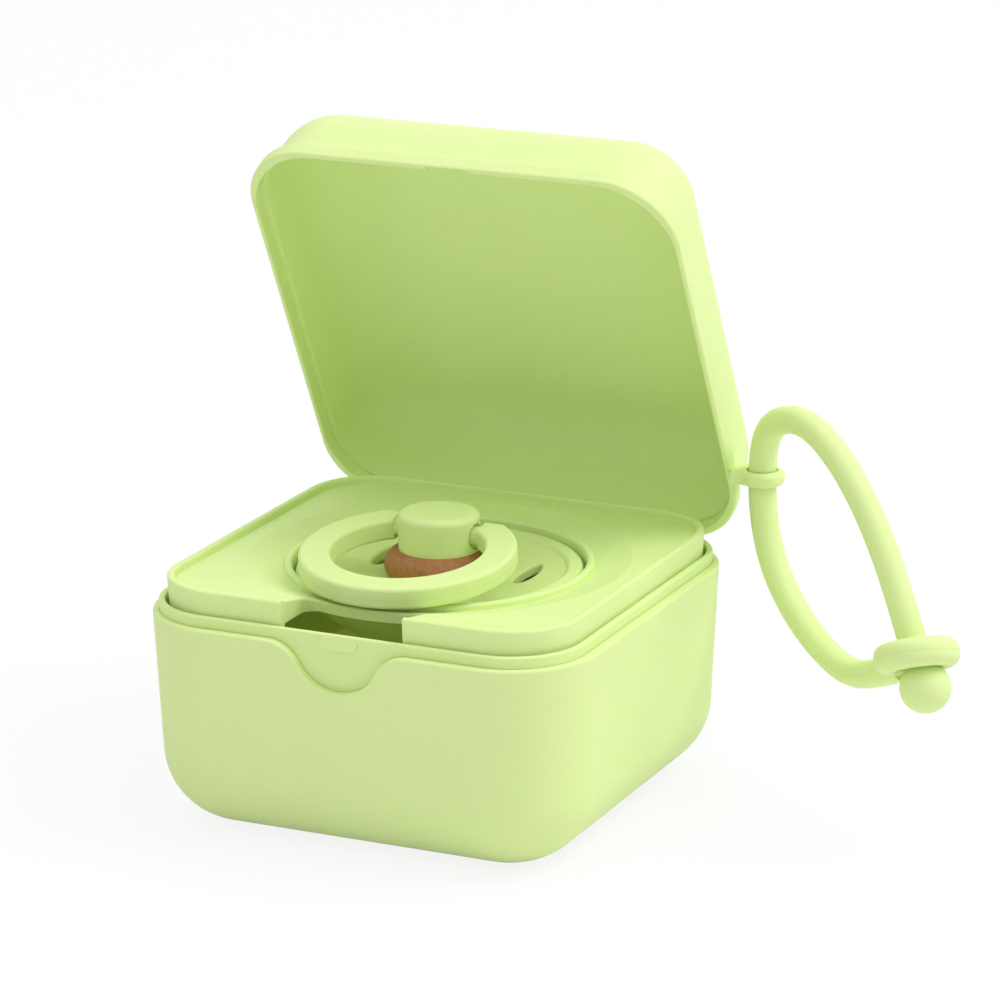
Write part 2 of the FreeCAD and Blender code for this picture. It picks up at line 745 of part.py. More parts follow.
def make_pacifier_button():
    """Knob with a dished top, two side slots for the handle and a stem that fills the nipple's neck."""
    stem_radius = neck_radius - rubber_wall - stem_fit
    dish_edge = button_radius * button_dish_share
    stem_low = flange_low + stem_end_gap
    points = [
        (0, stem_low),
        (stem_radius, stem_low),
        (stem_radius, collar_top),
        (button_radius, collar_top),
        (button_radius, button_top),
        (0, button_top),
    ]
    knob = revolve(points)
    rim = [edge for edge in edges_at(knob, button_top) if edge.BoundBox.XMax > dish_edge + level_tolerance]
    knob = knob.makeFillet(button_edge_radius, rim)
    hollow_radius = (dish_edge ** 2 + button_dish_depth ** 2) / (2 * button_dish_depth)
    hollow_z = button_top - button_dish_depth + hollow_radius
    knob = knob.cut(Part.makeSphere(hollow_radius, Vector(0, 0, hollow_z)))
    for side in (-1, 1):
        near = side * (button_radius - slot_depth)
        far = side * (button_radius + overrun)
        slot = bar_x(slot_radius, near, far, 0, pivot_z)
        slot = slot.fuse(bar_x(slot_radius, near, far, 0, pivot_z + slot_lift))
        low, high = sorted((near, far))
        slot = slot.fuse(box(low, high, -slot_radius, slot_radius, pivot_z, pivot_z + slot_lift))
        mouth = bar_x(slot_mouth_radius, side * (button_radius - slot_mouth_depth), far, 0, pivot_z)
        knob = knob.cut(slot).cut(mouth)
    return one_solid(knob)


def handle_rest_angle():
    """Downward tilt at which the handle lies just clear of the well's front lip."""
    lip_y = well_lip_radius - well_lip_wall / 2
    height = pivot_z - handle_thickness / 2 - well_lip_top - handle_rest_gap
    return math.degrees(math.asin(height / lip_y))


def make_pacifier_handle():
    """Flat ring, open behind the button, with a round tongue at each end, lying forward on its rest."""
    low = pivot_z - handle_thickness / 2
    centre = Vector(0, -handle_offset, low)
    ring = Part.makeCylinder(handle_outer_radius, handle_thickness, centre)
    ring = ring.cut(Part.makeCylinder(handle_inner_radius, handle_thickness, centre))
    ring = ring.makeFillet(handle_edge_radius, edges_at(ring, low) + edges_at(ring, low + handle_thickness))
    reach = handle_outer_radius + overrun
    behind = box(-reach, reach, handle_end, reach, low - overrun, low + handle_thickness + overrun)
    clear_height = handle_thickness + overrun + overrun
    clear = Part.makeCylinder(button_radius + handle_button_gap, clear_height, Vector(0, 0, low - overrun))
    ring = ring.cut(behind).cut(clear)
    tongue_in = button_radius - slot_depth + tongue_end_gap
    tongue_out = button_radius + handle_button_gap + tongue_radius
    for side in (-1, 1):
        ring = ring.fuse(bar_x(tongue_radius, side * tongue_in, side * tongue_out, 0, pivot_z))
    ring = one_solid(ring)
    ring.rotate(Vector(0, 0, pivot_z), X_AXIS, handle_rest_angle())
    return ring


def strap_origin():
    """Middle of the eyelet's hole with the lid part open."""
    marker = Part.Vertex(eyelet_centre())
    return opened(marker).Point


def strap_point(out, up):
    """A point of the strap's upright plane."""
    angle = math.radians(strap_plan_angle)
    start = strap_origin()
    return Vector(start.x + out * math.cos(angle), start.y + out * math.sin(angle), start.z + up)


def strap_direction(shares):
    """Unit direction from its shares outward, upward and square to the strap's plane."""
    angle = math.radians(strap_plan_angle)
    out, up, square = shares
    outward = Vector(math.cos(angle), math.sin(angle), 0)
    across = Vector(-math.sin(angle), math.cos(angle), 0)
    return (outward * out + across * square + Z_AXIS * up).normalize()


def cord_points():
    """Corners of the cord's run, from the ball through the ring, the eyelet and back to the ring's side."""
    ring_middle = strap_point(*strap_ring_place)
    start = ring_middle + strap_direction(strap_ball_heading_shares) * (strap_ball_place - strap_ball_flat)
    axis = strap_direction(strap_ring_axis_shares)
    out, up = strap_ring_axis_shares[:2]
    inward = strap_direction((up, -out, 0))
    end = ring_middle + inward * (strap_ring_radius - cord_radius) + axis * strap_joint_drop
    return [start] + [strap_point(out, up) for out, up in cord_route] + [end]


def cord_path(points):
    """Straight runs joined by the largest even tangent arcs; prints each arc's radius."""
    edges = []
    radii = []
    previous = points[0]
    for before, corner, after in zip(points, points[1:], points[2:]):
        into = corner - before
        out = after - corner
        set_back = cord_setback_share * min(into.Length, out.Length)
        turn = into.getAngle(out)
        radii.append(set_back / math.tan(turn / 2))
        into.normalize()
        out.normalize()
        begin = corner - into * set_back
        finish = corner + out * set_back
        bisector = (out - into).normalize()
        sagitta = radii[-1] / math.cos(turn / 2) - radii[-1]
        edges.append(Part.makeLine(previous, begin))
        edges.append(Part.Arc(begin, corner + bisector * sagitta, finish).toShape())
        previous = finish
    edges.append(Part.makeLine(previous, points[-1]))
    print("cord arc radii:", " ".join("%.1f" % radius for radius in radii))
    return Part.Wire(edges)


def make_strap_ring():
    """Thick ring that the ball end is pulled through."""
    height = strap_ring_thickness / 2
    hole_radius = cord_radius + strap_ring_fit
    ring = Part.makeCylinder(strap_ring_radius, strap_ring_thickness, Vector(0, 0, -height))
    ring = ring.cut(Part.makeCylinder(hole_radius, strap_ring_thickness, Vector(0, 0, -height)))
    ring = ring.makeFillet(strap_ring_edge_radius, edges_at(ring, height) + edges_at(ring, -height))
    turn = FreeCAD.Rotation(Z_AXIS, strap_direction(strap_ring_axis_shares))
    ring.Placement = FreeCAD.Placement(strap_point(*strap_ring_place), turn)
    return ring


def make_strap_ball():
    """Ball end with a flat where the cord meets it."""
    ball = Part.makeSphere(strap_ball_radius)
    reach = strap_ball_radius
    ball = ball.cut(box(-reach, reach, -reach, reach, -reach - overrun, -strap_ball_flat))
    heading = strap_direction(strap_ball_heading_shares)
    middle = strap_point(*strap_ring_place) + heading * strap_ball_place
    ball.Placement = FreeCAD.Placement(middle, FreeCAD.Rotation(Z_AXIS, heading))
    return ball


def make_strap_cord(ring):
    """Round cord along its route, cut to the ring's side."""
    points = cord_points()
    path = cord_path(points)
    start = path.Vertexes[0].Point
    heading = (points[1] - points[0]).normalize()
    section = Part.Wire(Part.makeCircle(cord_radius, start, heading))
    tube = path.makePipeShell([section], True, False)
    expected = math.pi * cord_radius ** 2 * path.Length
    print("cord length %.1f, volume %.1f, section times length %.1f" % (path.Length, tube.Volume, expected))
    return one_solid(tube.cut(ring))


strap_ring = make_strap_ring()
parts = {
    "base_shell": make_base_shell(),
    "base_liner": make_base_liner(),
    "hinge_pin": make_hinge_pin(),
    "insert_tray": make_insert_tray(),
    "lid": make_lid(),
    "pacifier_shield": make_pacifier_shield(),
    "pacifier_nipple": make_pacifier_nipple(),
    "pacifier_button": make_pacifier_button(),
    "pacifier_handle": make_pacifier_handle(),
    "strap_cord": make_strap_cord(strap_ring),
    "strap_ring": strap_ring,
    "strap_ball": make_strap_ball(),
}

os.makedirs("parts", exist_ok=True)
for name, shape in parts.items():
    if not shape.isValid():
        print("not valid:", name)
    shape.exportStep("parts/%s.step" % name)
    limits = shape.BoundBox
    print("%-16s volume %8.1f  x %6.1f %6.1f  y %6.1f %6.1f  z %6.1f %6.1f" % (
        name, shape.Volume, limits.XMin, limits.XMax, limits.YMin, limits.YMax, limits.ZMin, limits.ZMax))
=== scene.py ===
import math

import bmesh
import bpy
from bpy.props import FloatProperty, FloatVectorProperty, PointerProperty
from mathutils import Matrix, Vector


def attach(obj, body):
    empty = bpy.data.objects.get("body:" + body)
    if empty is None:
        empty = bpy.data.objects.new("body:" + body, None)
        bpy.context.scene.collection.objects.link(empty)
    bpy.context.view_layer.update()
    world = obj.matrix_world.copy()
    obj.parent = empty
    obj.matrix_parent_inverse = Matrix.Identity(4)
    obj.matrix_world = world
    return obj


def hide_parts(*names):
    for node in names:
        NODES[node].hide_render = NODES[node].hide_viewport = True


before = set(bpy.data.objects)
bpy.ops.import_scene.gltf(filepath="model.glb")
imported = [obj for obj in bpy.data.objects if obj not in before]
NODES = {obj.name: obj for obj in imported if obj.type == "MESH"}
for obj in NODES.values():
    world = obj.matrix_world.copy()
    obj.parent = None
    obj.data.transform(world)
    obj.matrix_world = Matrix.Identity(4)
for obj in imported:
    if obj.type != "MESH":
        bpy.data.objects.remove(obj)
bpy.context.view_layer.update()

bl_info = {
    "name": "Pacifier case",
    "version": (1, 0, 0),
    "blender": (4, 5, 0),
    "location": "View3D > Sidebar > Pacifier case",
    "description": "Finishes a hinged pacifier case with its tray, pacifier and strap",
    "category": "Object",
}

MM = 0.001

# Strap route, as (out, up) from the eyelet's middle in the upright plane of the loop
EYELET_MIDDLE = Vector((40.6, 30.579, 46.786)) * MM
STRAP_OUTWARD = Vector((0.81915, -0.57358, 0.0))
STRAP_ACROSS = Vector((0.57358, 0.81915, 0.0))
UPWARD = Vector((0.0, 0.0, 1.0))
STRAP_ROUTE = (
    (42.83, -18.63),
    (37.7, -9.6),
    (31.2, -0.5),
    (22.7, 7.3),
    (12.6, 11.9),
    (3.6, 10.1),
    (0.0, 5.0),
    (0.0, -5.2),
    (2.9, -13.0),
    (8.8, -18.9),
    (16.8, -23.2),
    (24.8, -25.0),
    (31.7, -23.0),
    (38.65, -19.91),
)
CORD_SECTION_STEPS = 8
CORD_STEPS_PER_POINT = 24
LOWER_RUN_SHARES = (0.6, 0.96)
RING_PLACE = (42.0, -17.15)
RING_AXIS = (STRAP_OUTWARD * 0.44 - UPWARD * 0.89 - STRAP_ACROSS * 0.13).normalized()

# Ring handle, tilted forward about its pivot
HANDLE_PIVOT = Vector((0.0, 0.0, 41.5)) * MM
HANDLE_MIDDLE = Vector((0.0, -10.9, 0.0)) * MM
HANDLE_TILT = math.radians(5.46)
HANDLE_OUTER_SEAM = (math.radians(-45), math.radians(225))
HANDLE_INNER_SEAM = (math.radians(-47), math.radians(227))
SEAM_SECTION_SIDES = 8

# Shared grain: detail of its fine noise, scale of its broad noise, and their shares in the colour
FINE_DETAIL = 3.0
FINE_ROUGHNESS = 0.65
BROAD_PER_METRE = 70.0
BROAD_DETAIL = 4.0
FINE_SHARE = 1.6
GRAIN_MIDDLE = 1.3
ROUGHNESS_SWING = 0.5

# Plastic: its reflection, and how much and how far light scatters under its surface
PLASTIC_SPECULAR = 0.35
PLASTIC_SCATTER = 0.12
SCATTER_RADIUS = (1.0, 0.9, 0.35)
SCATTER_SCALE = 0.0012

# Rubber and steel
RUBBER_ROUGHNESS = 0.5
RUBBER_MOTTLE = 0.22
RUBBER_GRAIN = 0.0005
RUBBER_CLOUDS_PER_METRE = 1400.0
RUBBER_CLOUD_DETAIL = 5.0
RUBBER_CLOUD_ROUGHNESS = 0.7
RUBBER_DARK = (0.78, 0.62, 0.6)
RUBBER_PALE = (1.06, 1.25, 1.35)
RUBBER_STOPS = (0.3, 0.5, 0.74)
STEEL_ROUGHNESS = 0.34
STEEL_MOTTLE = 0.06

# Closed room of the painted glow that stands in for light through the walls: its highest level and its
# front, in metres
LINER_GLOW_ROOM = (0.0315, -0.0333)
TRAY_GLOW_ROOM = (0.0335, -0.03)

# Studio
WHITE = (1.0, 1.0, 1.0, 1.0)
BLACK = (0.0, 0.0, 0.0, 1.0)
FLOOR_GREY = (0.9, 0.9, 0.9, 1.0)
FLOOR_WHITE_SHARE = 0.86
KEY_SIZE = 0.8
KEY_AIM = Vector((0.0, 0.0, 0.045))
KEY_OFFSET = Vector((0.76, 0.3, 1.02))
SENSOR_WIDTH = 36.0
VIEW_RANGE = (0.01, 20.0)


class CaseColours(bpy.types.PropertyGroup):
    """Colours of the case and the pacifier"""

    green: FloatVectorProperty(
        name="Case green",
        description="Colour of the moulded case, the pacifier's hard parts and the strap",
        subtype="COLOR",
        size=3,
        min=0.0,
        max=1.0,
        default=(0.735, 0.885, 0.375),
    )
    rubber: FloatVectorProperty(
        name="Natural rubber",
        description="Colour of the pacifier's rubber teat",
        subtype="COLOR",
        size=3,
        min=0.0,
        max=1.0,
        default=(0.40, 0.17, 0.06),
    )
    # Colour of the painted glow on the inside surfaces, in place of light that the thin walls let through
    painted_glow_colour: FloatVectorProperty(
        name="Painted glow colour",
        description="Colour of the light that the thin green walls let through",
        subtype="COLOR",
        size=3,
        min=0.0,
        max=1.0,
        default=(0.95, 1.0, 0.27),
    )
    steel: FloatVectorProperty(
        name="Pin steel",
        description="Colour of the hinge pin",
        subtype="COLOR",
        size=3,
        min=0.0,
        max=1.0,
        default=(0.55, 0.55, 0.56),
    )


class CaseFinish(bpy.types.PropertyGroup):
    """Surface finish of the moulded pieces, and strengths of the painted glow inside them"""

    grain: FloatProperty(
        name="Grain size",
        description="Spacing of the fine moulded grain",
        subtype="DISTANCE",
        unit="LENGTH",
        default=0.00035,
    )
    grain_depth: FloatProperty(
        name="Grain depth",
        description="Height of the fine moulded grain",
        subtype="DISTANCE",
        unit="LENGTH",
        default=0.00001,
    )
    roughness: FloatProperty(
        name="Case roughness",
        description="Roughness of the matte green plastic",
        subtype="FACTOR",
        min=0.0,
        max=1.0,
        default=0.55,
    )
    mottle: FloatProperty(
        name="Case mottle",
        description="Strength of the faint cloudiness in the green plastic",
        default=0.05,
    )
    # Strength of the painted glow inside the base, in place of light through its walls
    liner_painted_glow: FloatProperty(
        name="Liner painted glow",
        description="Strength of the light that comes through the base's walls",
        default=0.06,
    )
    # Strength of the painted glow inside the tray's well, in place of light through it
    tray_painted_glow: FloatProperty(
        name="Tray painted glow",
        description="Strength of the light that comes through the tray's well",
        default=0.015,
    )
    silicone_roughness: FloatProperty(
        name="Strap roughness",
        description="Roughness of the soft strap",
        subtype="FACTOR",
        min=0.0,
        max=1.0,
        default=0.62,
    )
    silicone_mottle: FloatProperty(
        name="Strap mottle",
        description="Strength of the faint cloudiness in the strap",
        default=0.04,
    )


class SeamSizes(bpy.types.PropertyGroup):
    """Sizes of the mould's parting seams"""

    seam_radius: FloatProperty(
        name="Seam radius",
        description="Radius of the fine raised line where the mould halves met",
        subtype="DISTANCE",
        unit="LENGTH",
        default=0.00007,
    )
    seam_sink: FloatProperty(
        name="Seam sink",
        description="How far the seam's middle lies under the surface",
        subtype="DISTANCE",
        unit="LENGTH",
        default=0.000035,
    )
    handle_outer: FloatProperty(
        name="Handle outer radius",
        description="Radius of the seam round the outside of the ring handle",
        subtype="DISTANCE",
        unit="LENGTH",
        default=0.0165,
    )
    handle_inner: FloatProperty(
        name="Handle inner radius",
        description="Radius of the seam round the inside of the ring handle",
        subtype="DISTANCE",
        unit="LENGTH",
        default=0.0117,
    )
    strap_ring: FloatProperty(
        name="Strap ring radius",
        description="Radius of the seam round the strap's ring",
        subtype="DISTANCE",
        unit="LENGTH",
        default=0.0064,
    )


class StrapSizes(bpy.types.PropertyGroup):
    """Sizes of the strap"""

    cord_radius: FloatProperty(
        name="Cord radius",
        description="Radius of the strap's round cord",
        subtype="DISTANCE",
        unit="LENGTH",
        default=0.00217,
    )


class StageSettings(bpy.types.PropertyGroup):
    """Camera, lamps and floor"""

    azimuth: FloatProperty(
        name="Azimuth",
        description="Turn of the camera round the case",
        subtype="ANGLE",
        unit="ROTATION",
        default=math.radians(25.098),
    )
    elevation: FloatProperty(
        name="Elevation",
        description="Height of the camera above the floor, as an angle",
        subtype="ANGLE",
        unit="ROTATION",
        default=math.radians(16.549),
    )
    roll: FloatProperty(
        name="Roll",
        description="Lean of the camera about its own line of sight",
        subtype="ANGLE",
        unit="ROTATION",
        default=math.radians(-0.434),
    )
    distance: FloatProperty(
        name="Distance",
        description="Distance from the camera to the case's origin, along its line of sight",
        subtype="DISTANCE",
        unit="LENGTH",
        default=0.736686,
    )
    across: FloatProperty(
        name="Across",
        description="How far the camera stands to the right of the case's origin",
        subtype="DISTANCE",
        unit="LENGTH",
        default=0.00894,
    )
    above: FloatProperty(
        name="Above",
        description="How far the camera stands above the case's origin",
        subtype="DISTANCE",
        unit="LENGTH",
        default=0.044583,
    )
    lens: FloatProperty(
        name="Lens",
        description="Focal length of the camera on a 36 mm sensor, in millimetres",
        default=171.346,
    )
    sky_low: FloatProperty(
        name="Sky at the horizon",
        description="Strength of the studio light from level directions",
        default=0.27,
    )
    sky_rise: FloatProperty(
        name="Sky overhead",
        description="How much stronger the studio light is from straight above",
        default=0.9,
    )
    key_power: FloatProperty(
        name="Key lamp",
        description="Power of the large soft lamp above, to the right and a little behind",
        subtype="POWER",
        unit="POWER",
        default=7.3,
    )
    floor_size: FloatProperty(
        name="Floor size",
        description="Side of the square floor",
        subtype="DISTANCE",
        unit="LENGTH",
        default=6.0,
    )


def strap_point(out, up):
    """Point of the strap's plane in the case's frame."""
    return EYELET_MIDDLE + STRAP_OUTWARD * (out * MM) + UPWARD * (up * MM)


def link(tree, start, end):
    """Joins two sockets of a node tree."""
    tree.links.new(start, end)


def moulded_grain_group():
    """Shader group: fine grain and faint mottling of a moulded surface."""
    group = bpy.data.node_groups.new("moulded_grain", "ShaderNodeTree")
    face = group.interface
    face.new_socket("Colour", in_out="INPUT", socket_type="NodeSocketColor")
    face.new_socket("Roughness", in_out="INPUT", socket_type="NodeSocketFloat")
    face.new_socket("Grain per metre", in_out="INPUT", socket_type="NodeSocketFloat")
    face.new_socket("Mottle", in_out="INPUT", socket_type="NodeSocketFloat")
    face.new_socket("Colour", in_out="OUTPUT", socket_type="NodeSocketColor")
    face.new_socket("Roughness", in_out="OUTPUT", socket_type="NodeSocketFloat")
    face.new_socket("Height", in_out="OUTPUT", socket_type="NodeSocketFloat")
    nodes = group.nodes
    given = nodes.new("NodeGroupInput")
    result = nodes.new("NodeGroupOutput")
    place = nodes.new("ShaderNodeTexCoord")
    fine = nodes.new("ShaderNodeTexNoise")
    fine.inputs["Detail"].default_value = FINE_DETAIL
    fine.inputs["Roughness"].default_value = FINE_ROUGHNESS
    link(group, place.outputs["Object"], fine.inputs["Vector"])
    link(group, given.outputs["Grain per metre"], fine.inputs["Scale"])
    broad = nodes.new("ShaderNodeTexNoise")
    broad.inputs["Scale"].default_value = BROAD_PER_METRE
    broad.inputs["Detail"].default_value = BROAD_DETAIL
    link(group, place.outputs["Object"], broad.inputs["Vector"])
    both = nodes.new("ShaderNodeMath")
    both.operation = "MULTIPLY_ADD"
    both.inputs[1].default_value = FINE_SHARE
    link(group, fine.outputs["Fac"], both.inputs[0])
    link(group, broad.outputs["Fac"], both.inputs[2])
    centred = nodes.new("ShaderNodeMath")
    centred.operation = "SUBTRACT"
    centred.inputs[1].default_value = GRAIN_MIDDLE
    link(group, both.outputs[0], centred.inputs[0])
    swing = nodes.new("ShaderNodeMath")
    swing.operation = "MULTIPLY"
    link(group, centred.outputs[0], swing.inputs[0])
    link(group, given.outputs["Mottle"], swing.inputs[1])
    shade = nodes.new("ShaderNodeHueSaturation")
    gain = nodes.new("ShaderNodeMath")
    gain.operation = "ADD"
    gain.inputs[1].default_value = 1.0
    link(group, swing.outputs[0], gain.inputs[0])
    link(group, gain.outputs[0], shade.inputs["Value"])
    link(group, given.outputs["Colour"], shade.inputs["Color"])
    link(group, shade.outputs["Color"], result.inputs["Colour"])
    rough = nodes.new("ShaderNodeMath")
    rough.operation = "MULTIPLY_ADD"
    rough.inputs[1].default_value = ROUGHNESS_SWING
    link(group, swing.outputs[0], rough.inputs[0])
    link(group, given.outputs["Roughness"], rough.inputs[2])
    link(group, rough.outputs[0], result.inputs["Roughness"])
    link(group, fine.outputs["Fac"], result.inputs["Height"])
    return group


def moulded_material(name, colour, roughness, mottle, grain, depth, scatter=PLASTIC_SCATTER):
    """Material of a moulded piece with the shared grain."""
    material = bpy.data.materials.new(name)
    material.use_nodes = True
    tree = material.node_tree
    shader = tree.nodes["Principled BSDF"]
    shader.inputs["Specular IOR Level"].default_value = PLASTIC_SPECULAR
    shader.inputs["Subsurface Weight"].default_value = scatter
    shader.inputs["Subsurface Radius"].default_value = SCATTER_RADIUS
    shader.inputs["Subsurface Scale"].default_value = SCATTER_SCALE
    grains = tree.nodes.new("ShaderNodeGroup")
    grains.node_tree = bpy.data.node_groups.get("moulded_grain") or moulded_grain_group()
    grains.inputs["Colour"].default_value = (*colour, 1.0)
    grains.inputs["Roughness"].default_value = roughness
    grains.inputs["Grain per metre"].default_value = 1.0 / grain
    grains.inputs["Mottle"].default_value = mottle
    bump = tree.nodes.new("ShaderNodeBump")
    bump.inputs["Strength"].default_value = 1.0
    bump.inputs["Distance"].default_value = depth
    link(tree, grains.outputs["Height"], bump.inputs["Height"])
    link(tree, grains.outputs["Colour"], shader.inputs["Base Color"])
    link(tree, grains.outputs["Roughness"], shader.inputs["Roughness"])
    link(tree, bump.outputs["Normal"], shader.inputs["Normal"])
    return material


def green_plastic(context, name):
    """Matte green plastic of the case."""
    colours = context.scene.case_colours
    finish = context.scene.case_finish
    return moulded_material(
        name, colours.green, finish.roughness, finish.mottle, finish.grain, finish.grain_depth)


def painted_glow_group():
    """Shader group: colour of a painted glow in place of faint light through thin walls, in the closed room
    below a level and behind a front.
    """
    group = bpy.data.node_groups.new("painted_glow", "ShaderNodeTree")
    face = group.interface
    face.new_socket("Colour", in_out="INPUT", socket_type="NodeSocketColor")
    face.new_socket("Level", in_out="INPUT", socket_type="NodeSocketFloat")
    face.new_socket("Front", in_out="INPUT", socket_type="NodeSocketFloat")
    face.new_socket("Colour", in_out="OUTPUT", socket_type="NodeSocketColor")
    nodes = group.nodes
    given = nodes.new("NodeGroupInput")
    result = nodes.new("NodeGroupOutput")
    place = nodes.new("ShaderNodeTexCoord")
    parts = nodes.new("ShaderNodeSeparateXYZ")
    below = nodes.new("ShaderNodeMath")
    below.operation = "LESS_THAN"
    behind = nodes.new("ShaderNodeMath")
    behind.operation = "GREATER_THAN"
    within = nodes.new("ShaderNodeMath")
    within.operation = "MULTIPLY"
    shade = nodes.new("ShaderNodeMix")
    shade.data_type = "RGBA"
    link(group, place.outputs["Object"], parts.inputs["Vector"])
    link(group, parts.outputs["Z"], below.inputs[0])
    link(group, given.outputs["Level"], below.inputs[1])
    link(group, parts.outputs["Y"], behind.inputs[0])
    link(group, given.outputs["Front"], behind.inputs[1])
    link(group, below.outputs[0], within.inputs[0])
    link(group, behind.outputs[0], within.inputs[1])
    link(group, within.outputs[0], shade.inputs["Factor"])
    shade.inputs["A"].default_value = BLACK
    link(group, given.outputs["Colour"], shade.inputs["B"])
    link(group, shade.outputs["Result"], result.inputs["Colour"])
    return group


def paint_glow_inside(material, colour, room, strength):
    """Paints a glow on a thin-walled piece's surfaces in the closed room inside it, in place of light let
    through the walls.
    """
    level, front = room
    tree = material.node_tree
    glow = tree.nodes.new("ShaderNodeGroup")
    glow.node_tree = bpy.data.node_groups.get("painted_glow") or painted_glow_group()
    glow.inputs["Colour"].default_value = (*colour, 1.0)
    glow.inputs["Level"].default_value = level
    glow.inputs["Front"].default_value = front
    # The painted glow is emission on the surface, not light from a lamp
    shader = tree.nodes["Principled BSDF"]
    shader.inputs["Emission Strength"].default_value = strength
    link(tree, glow.outputs["Colour"], shader.inputs["Emission Color"])


def rubber_material(colour, depth):
    """Natural rubber: cloudy brown with paler and redder flecks."""
    material = moulded_material(
        "natural_rubber", colour, RUBBER_ROUGHNESS, RUBBER_MOTTLE, RUBBER_GRAIN, depth)
    tree = material.node_tree
    place = tree.nodes.new("ShaderNodeTexCoord")
    cloud = tree.nodes.new("ShaderNodeTexNoise")
    cloud.inputs["Scale"].default_value = RUBBER_CLOUDS_PER_METRE
    cloud.inputs["Detail"].default_value = RUBBER_CLOUD_DETAIL
    cloud.inputs["Roughness"].default_value = RUBBER_CLOUD_ROUGHNESS
    link(tree, place.outputs["Object"], cloud.inputs["Vector"])
    flecks = tree.nodes.new("ShaderNodeValToRGB")
    ramp = flecks.color_ramp
    dark, pale = ramp.elements[0], ramp.elements[1]
    dark.position = RUBBER_STOPS[0]
    dark.color = (*(part * share for part, share in zip(colour, RUBBER_DARK)), 1.0)
    pale.position = RUBBER_STOPS[2]
    pale.color = (*(part * share for part, share in zip(colour, RUBBER_PALE)), 1.0)
    middle = ramp.elements.new(RUBBER_STOPS[1])
    middle.color = (*colour, 1.0)
    link(tree, cloud.outputs["Fac"], flecks.inputs["Fac"])
    grains = next(node for node in tree.nodes if node.type == "GROUP")
    link(tree, flecks.outputs["Color"], grains.inputs["Colour"])
    return material


def seam_tree():
    """Geometry tree: a fine round bead along a line."""
    tree = bpy.data.node_groups.new("parting_seam", "GeometryNodeTree")
    tree.is_modifier = True
    face = tree.interface
    face.new_socket("Line", in_out="INPUT", socket_type="NodeSocketGeometry")
    face.new_socket("Bead radius", in_out="INPUT", socket_type="NodeSocketFloat")
    face.new_socket("Finish", in_out="INPUT", socket_type="NodeSocketMaterial")
    face.new_socket("Seam", in_out="OUTPUT", socket_type="NodeSocketGeometry")
    nodes = tree.nodes
    given = nodes.new("NodeGroupInput")
    result = nodes.new("NodeGroupOutput")
    path = nodes.new("GeometryNodeMeshToCurve")
    section = nodes.new("GeometryNodeCurvePrimitiveCircle")
    section.inputs["Resolution"].default_value = SEAM_SECTION_SIDES
    bead = nodes.new("GeometryNodeCurveToMesh")
    bead.inputs["Fill Caps"].default_value = True
    smooth = nodes.new("GeometryNodeSetShadeSmooth")
    whole = nodes.new("GeometryNodeRealizeInstances")
    finish = nodes.new("GeometryNodeSetMaterial")
    link(tree, given.outputs["Line"], path.inputs["Mesh"])
    link(tree, given.outputs["Bead radius"], section.inputs["Radius"])
    link(tree, path.outputs["Curve"], bead.inputs["Curve"])
    link(tree, section.outputs["Curve"], bead.inputs["Profile Curve"])
    link(tree, bead.outputs["Mesh"], smooth.inputs["Geometry"])
    link(tree, smooth.outputs["Geometry"], whole.inputs["Geometry"])
    link(tree, whole.outputs["Geometry"], finish.inputs["Geometry"])
    link(tree, given.outputs["Finish"], finish.inputs["Material"])
    link(tree, finish.outputs["Geometry"], result.inputs["Seam"])
    return tree


def seam(context, name, lines, material):
    """Plain mesh of the mould's seam along open or closed lines of points."""
    points = []
    edges = []
    for line, closed in lines:
        first = len(points)
        points.extend(line)
        edges.extend((index, index + 1) for index in range(first, len(points) - 1))
        if closed:
            edges.append((len(points) - 1, first))
    guide = bpy.data.meshes.new(name + "_line")
    guide.from_pydata([tuple(point) for point in points], edges, [])
    piece = bpy.data.objects.new(name, guide)
    context.scene.collection.objects.link(piece)
    tree = bpy.data.node_groups.get("parting_seam") or seam_tree()
    modifier = piece.modifiers.new("parting_seam", "NODES")
    modifier.node_group = tree
    values = {"Bead radius": context.scene.seam_sizes.seam_radius, "Finish": material}
    for socket in tree.interface.items_tree:
        if socket.in_out == "INPUT" and socket.name in values:
            modifier[socket.identifier] = values[socket.name]
    evaluated = piece.evaluated_get(context.evaluated_depsgraph_get())
    mesh = bpy.data.meshes.new_from_object(evaluated)
    piece.modifiers.clear()
    piece.data = mesh
    bpy.data.meshes.remove(guide)
    shape = bmesh.new()
    shape.from_mesh(mesh)
    bmesh.ops.recalc_face_normals(shape, faces=shape.faces)
    shape.to_mesh(mesh)
    shape.free()
    if not mesh.polygons:
        raise RuntimeError("the seam %s has no faces" % name)
    return piece


def arc(middle, radius, span, along, across, count=120):
    """Points of an arc between two angles in the plane of two unit directions."""
    start, end = span
    step = (end - start) / count
    angles = [start + step * index for index in range(count + 1)]
    return [middle + along * (radius * math.cos(a)) + across * (radius * math.sin(a)) for a in angles]


def dress(node, material):
    """Gives a piece of the frame its finish."""
    piece = NODES[node]
    piece.data.materials.clear()
    piece.data.materials.append(material)
    return piece


